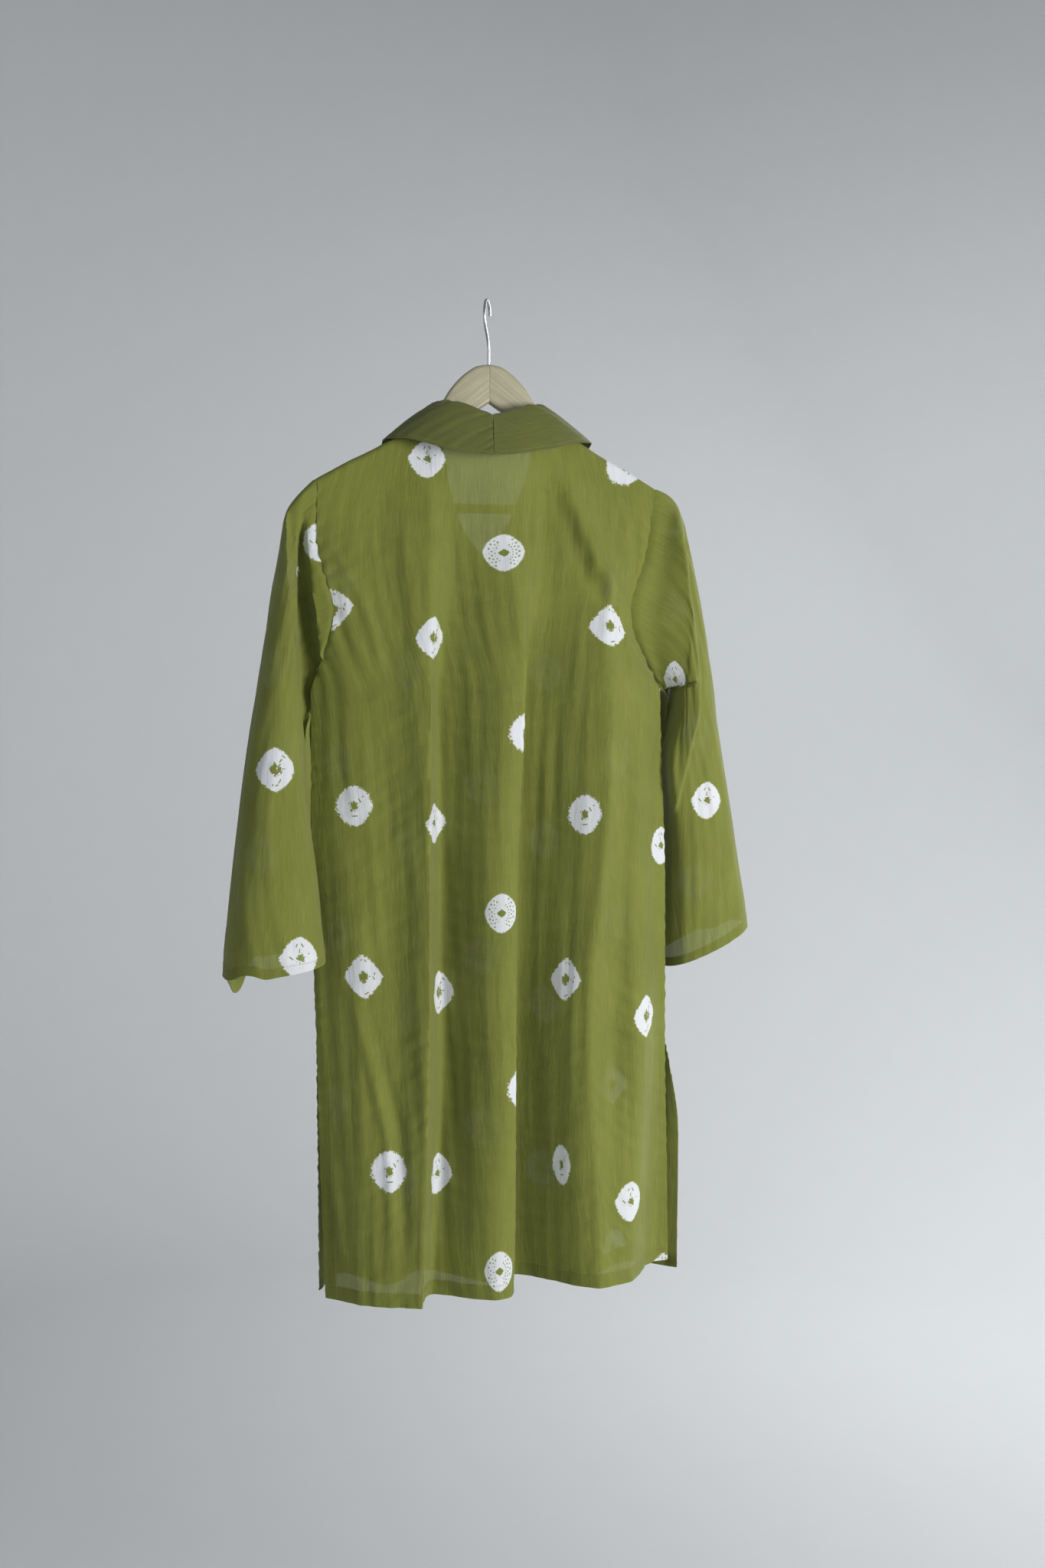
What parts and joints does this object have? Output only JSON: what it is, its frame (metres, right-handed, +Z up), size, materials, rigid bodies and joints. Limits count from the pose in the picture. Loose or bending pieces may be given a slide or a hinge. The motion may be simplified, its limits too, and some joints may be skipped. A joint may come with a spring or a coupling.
{
  "type": "kurta tunic on clothes hanger",
  "caption": "Knee-length cotton kurta tunic with turned-down collar, three-quarter sleeves, V neck and side slits, hanging on a wooden clothes hanger with a bar and a wire hook.",
  "frame": {"origin": "inside top of the hanger's hook, where it rests on a rail", "axes": "+Z up, +Y the way the tunic's front faces, +X towards the wearer's right sleeve"},
  "size_m": [0.5932, 0.1902, 1.07],
  "materials": {
    "cotton": "olive green cotton voile with white tie-dye dots",
    "collar_cotton": "plain olive green cotton",
    "wood": "pale satin-lacquered wood",
    "steel": "plated wire"
  },
  "bodies": {
    "root": {"back": "cotton", "front": "cotton", "sleeve_left": "cotton", "sleeve_right": "cotton", "collar_left": "collar_cotton", "collar_right": "collar_cotton", "hanger_arm_left": "wood", "hanger_arm_right": "wood", "hanger_bar": "wood", "hanger_hook": "steel"}
  },
  "joints": []
}
